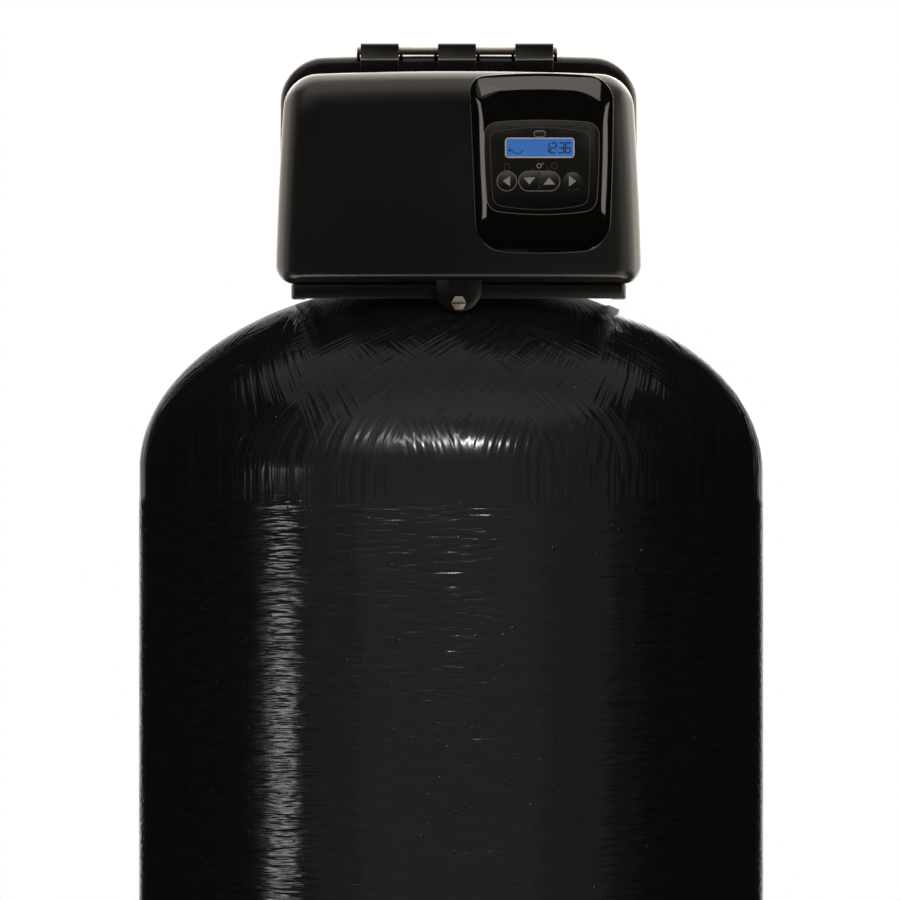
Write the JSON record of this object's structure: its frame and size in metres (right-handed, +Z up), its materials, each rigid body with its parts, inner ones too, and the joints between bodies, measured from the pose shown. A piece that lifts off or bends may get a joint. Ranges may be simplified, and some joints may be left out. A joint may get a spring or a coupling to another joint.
{
  "type": "backwashing carbon water filter",
  "caption": "Wound pressure tank of carbon on a foot, with an electronic backwash valve under a hinged two-part black cover, console and rear pipe sockets",
  "frame": {"origin": "on the floor, on the tank's axis; the head stands 5 mm to its right", "axes": "+Z up, -Y the front with the console, +X to the right seen from the front"},
  "size_m": [0.4185, 0.4184, 1.7972],
  "materials": {
    "wound_shell": "resin-wound glass fibre, black, satin gloss with winding marks",
    "liner": "blow-moulded polyethylene, natural",
    "foot": "moulded black plastic, fine texture",
    "neck": "glass-filled black plastic",
    "gravel": "washed quartz gravel",
    "carbon": "granular activated carbon",
    "white_plastic": "white moulded plastic",
    "valve": "glass-filled black plastic, matte",
    "rubber": "black seal rubber",
    "piston": "filled plastic with a sliding coating",
    "gear": "natural acetal",
    "motor": "plated steel can",
    "steel": "stainless steel, satin",
    "board": "glass-epoxy board, green resist",
    "display": "backlit liquid crystal module, blue",
    "cover": "black moulded plastic, satin, slightly warm",
    "bezel": "black polished plastic",
    "panel": "black keypad film",
    "lens": "clear window over the display",
    "indicator": "smoked light window",
    "button": "black moulded button",
    "fitting": "dark grey plastic pipe socket"
  },
  "bodies": {
    "filter": {"tank_winding": "wound_shell", "tank_liner": "liner", "tank_foot": "foot", "tank_neck": "neck", "neck_seal": "rubber", "gravel_bed": "gravel", "carbon_bed": "carbon", "riser_tube": "white_plastic", "lower_distributor": "white_plastic", "upper_diffuser": "white_plastic", "valve_body": "valve", "seal_stack": "white_plastic", "drive_cap": "valve", "drive_motor": "motor", "drive_bracket": "valve", "gear_cover": "white_plastic", "bracket_screws": "steel", "gear_cover_screws": "steel", "valve_screws": "steel", "board_screws": "steel", "circuit_board": "board", "display_module": "display", "injector_cap": "valve", "drain_elbow": "valve", "drain_clip": "white_plastic", "flow_washer": "rubber", "inlet_washer": "rubber", "outlet_washer": "rubber", "inlet_fitting": "fitting", "outlet_fitting": "fitting", "inlet_nut": "valve", "outlet_nut": "valve", "rear_cover": "cover", "head_tray": "cover", "hinge_rod": "steel"},
    "cover": {"front_cover": "cover", "cover_screw": "steel", "console_bezel": "bezel", "console_panel": "panel", "display_lens": "lens", "indicator_window": "indicator"},
    "main_gear": {"main_drive_gear": "gear"},
    "gear_1": {"reduction_gear_1": "gear"},
    "gear_2": {"reduction_gear_2": "gear"},
    "pinion": {"motor_pinion": "gear"},
    "piston": {"piston": "piston", "piston_rod": "piston"},
    "button_back": {"button_back": "button"},
    "button_down": {"button_down": "button"},
    "button_up": {"button_up": "button"},
    "button_next": {"button_next": "button"}
  },
  "joints": [
    {"name": "cover_hinge", "type": "hinge", "parent": "filter", "child": "cover", "pos_m": [0.005, -0.058, 1.7926], "axis": [-1, 0, 0], "range_deg": [0, 110]},
    {"name": "main_gear_spin", "type": "hinge", "parent": "filter", "child": "main_gear", "pos_m": [0, -0.079, 1.703], "axis": [0, -1, 0], "range_deg": [0, 720]},
    {"name": "gear_2_spin", "type": "hinge", "parent": "filter", "child": "gear_2", "pos_m": [-0.03118, -0.084, 1.721], "axis": [0, -1, 0], "range_deg": [-3600, 0]},
    {"name": "gear_1_spin", "type": "hinge", "parent": "filter", "child": "gear_1", "pos_m": [-0.05084, -0.09, 1.70723], "axis": [0, -1, 0], "range_deg": [0, 10800]},
    {"name": "pinion_spin", "type": "hinge", "parent": "filter", "child": "pinion", "pos_m": [-0.05905, -0.092, 1.68468], "axis": [0, -1, 0], "range_deg": [-32400, 0]},
    {"name": "piston_slide", "type": "slide", "parent": "filter", "child": "piston", "axis": [0, 1, 0], "range_m": [0, 0.024]},
    {"name": "button_back_press", "type": "slide", "parent": "cover", "child": "button_back", "axis": [0, 1, 0], "range_m": [0, 0.001], "stiffness_N_per_m": 1500},
    {"name": "button_down_press", "type": "slide", "parent": "cover", "child": "button_down", "axis": [0, 1, 0], "range_m": [0, 0.001], "stiffness_N_per_m": 1500},
    {"name": "button_up_press", "type": "slide", "parent": "cover", "child": "button_up", "axis": [0, 1, 0], "range_m": [0, 0.001], "stiffness_N_per_m": 1500},
    {"name": "button_next_press", "type": "slide", "parent": "cover", "child": "button_next", "axis": [0, 1, 0], "range_m": [0, 0.001], "stiffness_N_per_m": 1500}
  ],
  "couplings": [
    {"joint": "gear_2_spin", "follows": "main_gear_spin", "ratio": -5},
    {"joint": "gear_1_spin", "follows": "main_gear_spin", "ratio": 15},
    {"joint": "pinion_spin", "follows": "main_gear_spin", "ratio": -45},
    {"joint": "piston_slide", "follows": "main_gear_spin", "m_per_rad": 0.0019099}
  ]
}
